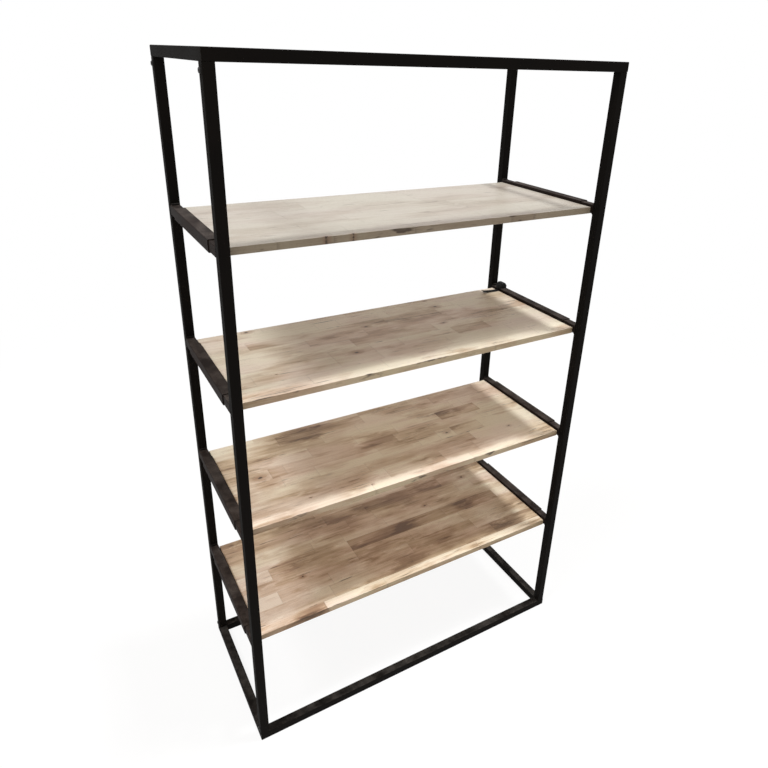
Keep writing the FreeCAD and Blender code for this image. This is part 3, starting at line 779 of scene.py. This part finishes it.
def write_stave_values(mesh, verts, staves, middle_z, plan, chance):
    """Stores at each point what the wood material reads about its stave."""
    values = {name: [] for name in ("in_stave", "half_stave", "log_at", "knot", "tone", "haze")}
    index = 0
    for used, strip, centre, half, tone in staves:
        pith_y, pith_z = chance.uniform(*PITH_ASIDE), chance.choice((-1, 1))
        pith_z *= chance.uniform(*PITH_BELOW)
        along, lean = chance.uniform(*LOG_LENGTH), chance.uniform(*LEAN)
        knot = find_knot(strip, centre, half, plan["knots"], chance)
        tone = tone + chance.uniform(*TONE_SPREAD)
        for x, y, z in verts[index : index + used]:
            dx, dy, dz = x - centre[0], y - centre[1], z - middle_z
            values["in_stave"].append((dx, dy, dz))
            values["half_stave"].append((*half, 0.0))
            values["log_at"].append((x + along, dy - pith_y + lean * dx, dz - pith_z))
            values["knot"].append(knot)
            values["tone"].append(tone)
            values["haze"].append(plan["haze"])
        index += used
    for name, column in values.items():
        store(mesh, name, column)


print("chance of a knot:", KNOT_CHANCE)


# %% Glue up the four boards
def add_piece(name, mesh, material):
    """Puts a mesh with its material into the scene as one piece."""
    mesh.materials.append(material)
    piece = bpy.data.objects.new(name, mesh)
    bpy.context.scene.collection.objects.link(piece)
    return piece


def glue_up(node, plan):
    """Builds one jointed board in the place of its plain solid."""
    chance = random.Random(plan["seed"])
    low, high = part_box(node)
    verts, faces, staves = [], [], []
    sides = strip_sides(low.y, high.y, plan["first strip"])
    for strip, (y0, y1) in enumerate(zip(sides, sides[1:])):
        chosen = plan["chosen"].get(strip, ())
        at_side = (strip == 0, y1 == high.y)
        for x0, x1, tone in staves_of_strip(low.x, high.x, chosen, chance, plan["tones"]):
            x0, x1 = max(x0, low.x), min(x1, high.x)
            at_end = (x0 - low.x < SAME_PLACE, high.x - x1 < SAME_PLACE)
            span, depth, height = (x0, x1), (y0, y1), (low.z, high.z)
            used = stave_block(verts, faces, span, depth, height, at_end, at_side)
            centre, half = ((x0 + x1) / 2, (y0 + y1) / 2), ((x1 - x0) / 2, (y1 - y0) / 2)
            staves.append((used, strip, centre, half, tone))
    mesh = bpy.data.meshes.new(node + "_jointed")
    mesh.from_pydata(verts, [], faces)
    write_stave_values(mesh, verts, staves, (low.z + high.z) / 2, plan, chance)
    board = add_piece(node + "_jointed", mesh, hardwood)
    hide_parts(node)
    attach(board, "root")
    return board, len(staves)


for node, plan in BOARD_PLANS.items():
    board, count = glue_up(node, plan)
    print(board.name, "glued from", count, "staves")

# %% [markdown]
# ## Weld beads
# Each stub is welded to its post above and below. The bead is a row of small overlapping ripples,
# one for each pause of the torch, with rounded ends. A bump map would stay flat in outline, and
# these beads stand about four millimetres proud, so they are modelled: a quarter-round profile is
# carried along the joint while its radius swells and shrinks.

# %% Shape one bead
RIPPLE_LENGTH = 2.3 * MM
BEAD_STATIONS = 44
BEAD_PROFILE = 8
BEAD_VALLEY, BEAD_SWELL, BEAD_WOBBLE = 0.84, 0.14, 0.02  # as shares of the bead's leg
BEAD_END_SHARPNESS = 7


def ribbon_faces(stations, count):
    """The side faces of a tube with a ring of count points at either end of each station."""
    faces = []
    for first in range(0, stations * count, count):
        for p in range(count):
            a, b = first + p, first + (p + 1) % count
            faces.append((a, b, b + count, a + count))
    return faces


def smooth_mesh(name, verts, faces):
    mesh = bpy.data.meshes.new(name)
    mesh.from_pydata(verts, [], faces)
    for polygon in mesh.polygons:
        polygon.use_smooth = True
    return mesh


def add_bead(name, start, end, out_a, out_b, leg, chance):
    """A rippled bead from start to end in the corner between directions out_a and out_b."""
    verts = []
    length = (end - start).length
    phase = chance.uniform(0.0, 1.0)
    for s in range(BEAD_STATIONS + 1):
        share = s / BEAD_STATIONS
        ripple = abs(math.sin(math.pi * (share * length / RIPPLE_LENGTH + phase)))
        taper = math.sqrt(1.0 - abs(2 * share - 1) ** BEAD_END_SHARPNESS)
        wobble = chance.uniform(-BEAD_WOBBLE, BEAD_WOBBLE)
        radius = leg * taper * (BEAD_VALLEY + BEAD_SWELL * ripple + wobble)
        centre = start.lerp(end, share)
        for p in range(BEAD_PROFILE + 1):
            angle = math.pi / 2 * p / BEAD_PROFILE
            verts.append(centre + radius * (math.cos(angle) * out_a + math.sin(angle) * out_b))
        verts.append(centre)
    mesh = smooth_mesh(name, verts, ribbon_faces(BEAD_STATIONS, BEAD_PROFILE + 2))
    mesh.validate()
    bead = add_piece(name, mesh, powder_coat)
    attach(bead, "root")
    return bead


print("ripples on a 19 mm bead:", round(19 * MM / RIPPLE_LENGTH))

# %% Lay the beads over and under each stub
BEAD_INSET = 1.5 * MM
STUB_BEAD_LEG = 4.48 * MM
bead_chance = random.Random(4)
beads = []
for corner in ("front_left", "front_right", "back_left", "back_right"):
    post_low, post_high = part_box(corner + "_post")
    inward = 1.0 if post_low.y < 0 else -1.0
    face_y = post_high.y if inward > 0 else post_low.y
    stub_half = (post_high.x - post_low.x) / 2
    for shelf in range(1, 5):
        rail_low, rail_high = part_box("shelf_%d_rail_left" % shelf)
        for side, away in (("over", 1.0), ("under", -1.0)):
            z = (rail_low.z + rail_high.z) / 2 + away * stub_half
            start = Vector((post_low.x + BEAD_INSET, face_y, z))
            end = Vector((post_high.x - BEAD_INSET, face_y, z))
            name = "weld_%s_%s_stub_%d" % (side, corner, shelf)
            out_a, out_b = Vector((0, inward, 0)), Vector((0, 0, away))
            beads.append(add_bead(name, start, end, out_a, out_b, STUB_BEAD_LEG, bead_chance))
print("stub beads:", len(beads))

# %% [markdown]
# The mitred corners of the two rectangles are welded too. Outside, the weld is ground flush and
# disappears under the coat. Inside the corner, where a grinder can't reach, a bead stays.

# %% Lay the beads inside the mitred corners
CORNER_BEAD_LEG = 3 * MM
corner_beads = []
for level in ("base", "top"):
    side_low, side_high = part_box(level + "_frame_left")
    _, front_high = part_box(level + "_frame_front")
    inner_x, inner_y = abs(side_high.x), abs(front_high.y)
    for sx, x_name in ((-1.0, "left"), (1.0, "right")):
        for sy, y_name in ((-1.0, "front"), (1.0, "back")):
            start = Vector((sx * inner_x, sy * inner_y, side_low.z + BEAD_INSET))
            end = Vector((sx * inner_x, sy * inner_y, side_high.z - BEAD_INSET))
            name = "weld_inside_%s_%s_%s" % (level, y_name, x_name)
            out_a, out_b = Vector((-sx, 0, 0)), Vector((0, -sy, 0))
            bead = add_bead(name, start, end, out_a, out_b, CORNER_BEAD_LEG, bead_chance)
            corner_beads.append(bead)
print("corner beads:", len(corner_beads))

# %% [markdown]
# ## The strap
# A short nylon strap is looped round one stub, with its tail on the board and a small buckle.
# Webbing is a flat woven band: its edges are rounded, its faces show slanting rows of yarn. The
# band is modelled as a ribbon that follows the loop, and the weave is a bump, because its yarns
# are about a millimetre wide and would cost many faces.

# %% Material: woven webbing
YARNS_PER_METRE = 900.0
THREADS_PER_METRE = 1.4 * YARNS_PER_METRE
# the weave's hollows take the darker colour and its raised yarns the lighter: painted shade on one
# black yarn
IN_WEAVE, ON_WEAVE, FUZZ = (0.004, 0.004, 0.0045), (0.013, 0.013, 0.014), (0.03, 0.03, 0.03)
webbing, tree, surface, place = new_material("black webbing")
in_band = parts_of(tree, own_value(tree, "in_band", "Vector"))
slant = calc(tree, "ADD", calc(tree, "ABSOLUTE", in_band["Y"]), in_band["X"])
ribs, threads = (
    calc(tree, "SINE", calc(tree, "MULTIPLY", at, per_metre * math.tau))
    for at, per_metre in ((slant, YARNS_PER_METRE), (in_band["Y"], THREADS_PER_METRE))
)
weave = shift(tree, shift(tree, 0.5, threads, 0.15), ribs, 0.35)
fuzz = noise_at(tree, place, 700.0, detail=4.0)
# darker in the weave's hollows, lighter on the raised yarns: painted shade and light over one black
# yarn
shade = mix_colour(tree, weave, IN_WEAVE, ON_WEAVE)
shade = mix_colour(tree, calc(tree, "MULTIPLY", fuzz, 0.3), shade, FUZZ)
feed(tree, surface.inputs["Base Color"], shade)
feed(tree, surface.inputs["Roughness"], shift(tree, 0.7, fuzz, 0.2))
surface.inputs["Specular IOR Level"].default_value = 0.05
surface.inputs["Sheen Weight"].default_value = 0.06
surface.inputs["Sheen Roughness"].default_value = 0.4
add_bump(tree, surface, weave, 0.2 * MM)
print("material:", webbing.name)

# %% Shape the band
BAND_THICKNESS = 1.5 * MM
BAND_EDGE_ROUND = 0.8 * MM
LOOP_CORNER = 2.6 * MM
LOOP_STARTS_ABOVE, LOOP_ENDS_BELOW = 3 * MM, 6 * MM  # the board's top, where the tail lies
CORNER_STEPS = 6


def quarter_turn(x, z, start):
    """Points on a quarter of a circle, clockwise as seen from the front, from a start angle."""
    angles = [math.radians(start - 90 * k / CORNER_STEPS) for k in range(CORNER_STEPS + 1)]
    return [(x + LOOP_CORNER * math.cos(a), z + LOOP_CORNER * math.sin(a)) for a in angles]


def loop_route(x0, x1, z0, z1, tail_z):
    """The middle line of the loop: up from the board's top and once round the stub."""
    r = LOOP_CORNER
    route = [(x0, tail_z + LOOP_STARTS_ABOVE)]
    route += quarter_turn(x0 + r, z1 - r, 180) + quarter_turn(x1 - r, z1 - r, 90)
    route += quarter_turn(x1 - r, z0 + r, 0) + quarter_turn(x0 + r, z0 + r, -90)
    return [*route, (x0, tail_z - LOOP_ENDS_BELOW)]


def band_mesh(name, route, y0, y1):
    """A flat band with rounded edges along a route of (x, z) points."""
    e, t = BAND_EDGE_ROUND, BAND_THICKNESS / 2
    profile = [(y0, -t + e), (y0, t - e), (y0 + e, t), (y1 - e, t)]
    profile += [(y1, t - e), (y1, -t + e), (y1 - e, -t), (y0 + e, -t)]
    verts, in_band, travelled = [], [], 0.0
    for k, (x, z) in enumerate(route):
        before, after = route[max(k - 1, 0)], route[min(k + 1, len(route) - 1)]
        run = Vector((after[0] - before[0], after[1] - before[1])).normalized()
        travelled += math.dist(route[k - 1], (x, z)) if k else 0.0
        for y, out in profile:
            verts.append((x - run.y * out, y, z + run.x * out))
            in_band.append((travelled, y - (y0 + y1) / 2, out))
    count, last = len(profile), len(route) - 1
    faces = ribbon_faces(last, count)
    faces += [tuple(reversed(range(count))), tuple(last * count + p for p in range(count))]
    mesh = smooth_mesh(name, verts, faces)
    store(mesh, "in_band", in_band)
    return mesh


print("band:", BAND_THICKNESS, "m thick")

# %% Lay the strap
LOOP_TO_POST = 0.3 * MM
TAIL_START = 0.4 * MM
TAIL_STEPS = 24
TAIL_LIFT = 5 * MM
half_band = BAND_THICKNESS / 2
strap_low, strap_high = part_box("tip_strap")
loop_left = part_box("back_right_post")[0].x - BAND_THICKNESS - LOOP_TO_POST + half_band
loop_right = strap_high.x - half_band
tail_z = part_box("shelf_3_board")[1].z + half_band
loop = loop_route(loop_left, loop_right, strap_low.z + half_band, strap_high.z - half_band, tail_z)
tail_from = loop_left + TAIL_START
tail = []
for k in range(TAIL_STEPS + 1):
    share = k / TAIL_STEPS
    tail.append((tail_from + (strap_low.x - tail_from) * share, tail_z + TAIL_LIFT * share**2))
for name, route in (("strap_loop", loop), ("strap_tail", tail)):
    band = add_piece(name, band_mesh(name, route, strap_low.y, strap_high.y), webbing)
    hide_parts("tip_strap")
    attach(band, "root")
print("strap:", round((strap_high.x - strap_low.x) / MM), "mm from its tail to its far side")

# %% [markdown]
# The buckle is moulded plastic. Its shape comes from the engineering model, and its finish is the
# skin of the coats once more, smoother and greyer, with corners that are rubbed by the webbing.

# %% Material: moulded plastic of the buckle
moulded, tree, surface, place = new_material("moulded black plastic")
skin = use_group(
    tree, coat_skin, Place=place, Ripples_per_Metre=1500.0, Blotches_per_Metre=60.0
)
wear = use_group(tree, rubbed_edges, Place=place, Radius=0.6 * MM, Amount=0.5)["Mask"]
shade = mix_colour(tree, skin["Blotches"], (0.005, 0.005, 0.005), (0.009, 0.009, 0.009))
feed(tree, surface.inputs["Base Color"], mix_colour(tree, wear, shade, (0.07, 0.07, 0.07)))
feed(tree, surface.inputs["Roughness"], shift(tree, 0.58, skin["Blotches"], 0.12))
surface.inputs["Specular IOR Level"].default_value = 0.15
add_bump(tree, surface, skin["Height"], 0.03 * MM)
print("material:", moulded.name)

# %% [markdown]
# ## Give each carried-over piece its finish
# The tubes, stubs, rails, bolts, nuts and the buckle already have their true shape, so they stay
# as they are and only take a material. Which one follows from what each is made of, as the
# record says. Only the rails and stubs take the browner, lighter copy of the coat, with its
# painted warm sheen.

# %% Assign the finishes
FINISHES = {
    "black_steel": powder_coat,
    "black_fasteners": black_oxide,
    "zinc_fasteners": zinc,
    "wood": hardwood,
    "black_nylon": webbing,
    "black_plastic": moulded,
}
slot_of = {part["node"]: part["material_slot"] for part in frame["record"]["subparts"]}
for name, piece in cad_nodes.items():
    # rails and stubs take the copy of the coat with the painted warm sheen
    takes_painted_sheen = "_rail_" in name or name.endswith("_stubs")
    piece.data.materials.clear()
    piece.data.materials.append(rail_coat_painted_sheen if takes_painted_sheen else FINISHES[slot_of[name]])
print("finished:", {slot: list(slot_of.values()).count(slot) for slot in FINISHES})

# %% [markdown]
# ## Floor and light
# The rack stands on a plain pale floor with no visible horizon. A backdrop could be a curved
# sheet, but a flat disc that fades to the white of the world does the same from every side. The
# light comes mostly from above, as in a room with ceiling lamps, so each board shades the one
# below it except along its front and its ends. Two soft lamps do that, and the sky fills in.

# %% Material: pale floor
FLOOR_FADE = (1.2, 3.2)  # metres from the middle, where the floor starts and ends to fade
NEAR_WHITENESS = 0.91
pale_floor, tree, surface, place = new_material("pale floor")
cloudy = noise_at(tree, place, 2.5, detail=5.0)
shade = mix_colour(tree, cloudy, (0.86, 0.86, 0.855), (0.90, 0.90, 0.895))
feed(tree, surface.inputs["Base Color"], shade)
surface.inputs["Roughness"].default_value = 0.8
white = add_node(tree, "ShaderNodeEmission")
white.inputs["Strength"].default_value = 1.0
far = add_node(tree, "ShaderNodeVectorMath", operation="LENGTH")
feed(tree, far.inputs[0], place)
whiteness = ramp_up(tree, far.outputs["Value"], *FLOOR_FADE, NEAR_WHITENESS, 1.0)
whiteness = calc(tree, "MULTIPLY", seen_directly(tree), whiteness)
blend = add_node(tree, "ShaderNodeMixShader")
feed_all(tree, blend.inputs, (whiteness, surface.outputs[0], white.outputs[0]))
feed(tree, tree.nodes["Material Output"].inputs["Surface"], blend.outputs[0])
print("material:", pale_floor.name)

# %% Floor
FLOOR_RADIUS = 14.0
FLOOR_SIDES = 64
FLOOR_DROP = 0.4 * MM  # below the tubes, so that no two faces share a plane
turns = [k * math.tau / FLOOR_SIDES for k in range(FLOOR_SIDES)]
ring = [(FLOOR_RADIUS * math.cos(a), FLOOR_RADIUS * math.sin(a), 0.0) for a in turns]
floor_mesh = bpy.data.meshes.new("floor")
floor_mesh.from_pydata(ring, [], [tuple(range(FLOOR_SIDES))])
floor = add_piece("floor", floor_mesh, pale_floor)
floor.location.z = -FLOOR_DROP
print("floor radius", FLOOR_RADIUS, "m")

# %% World
SKY_FILL = 0.41
SKY_COLOUR = (1.0, 0.842, 0.73)
world = bpy.data.worlds.new("white room")
world.use_nodes = True
bpy.context.scene.world = world
tree = world.node_tree
sky = tree.nodes["Background"]
seen = seen_directly(tree)
feed(tree, sky.inputs["Strength"], ramp_up(tree, seen, 0.0, 1.0, SKY_FILL, 1.0))
feed(tree, sky.inputs["Color"], mix_colour(tree, seen, SKY_COLOUR, (1.0, 1.0, 1.0)))
print("sky fill:", SKY_FILL)

# %% Lamps
LAMP_COLOUR = (0.98, 1.0, 1.0)
LAMP_DISTANCE = 4.0


def add_lamp(name, slope_x, slope_y, strength, spread_deg):
    """A soft far lamp, as many metres aside as the slopes say for each metre that it is up."""
    data = bpy.data.lights.new(name, "SUN")
    data.energy = strength
    data.angle = math.radians(spread_deg)
    data.color = LAMP_COLOUR
    lamp = bpy.data.objects.new(name, data)
    towards = Vector((slope_x, slope_y, 1.0)).normalized()
    lamp.rotation_euler = towards.to_track_quat("Z", "Y").to_euler()
    lamp.location = towards * LAMP_DISTANCE
    bpy.context.scene.collection.objects.link(lamp)
    return lamp


lamps = [
    add_lamp("ceiling lamp right", 0.24, -0.085, strength=2.05, spread_deg=6.0),
    add_lamp("ceiling lamp left", -0.62, -0.10, strength=1.7, spread_deg=18.0),
]
bpy.context.scene.view_settings.view_transform = "Standard"
print("lamps:", [lamp.name for lamp in lamps])
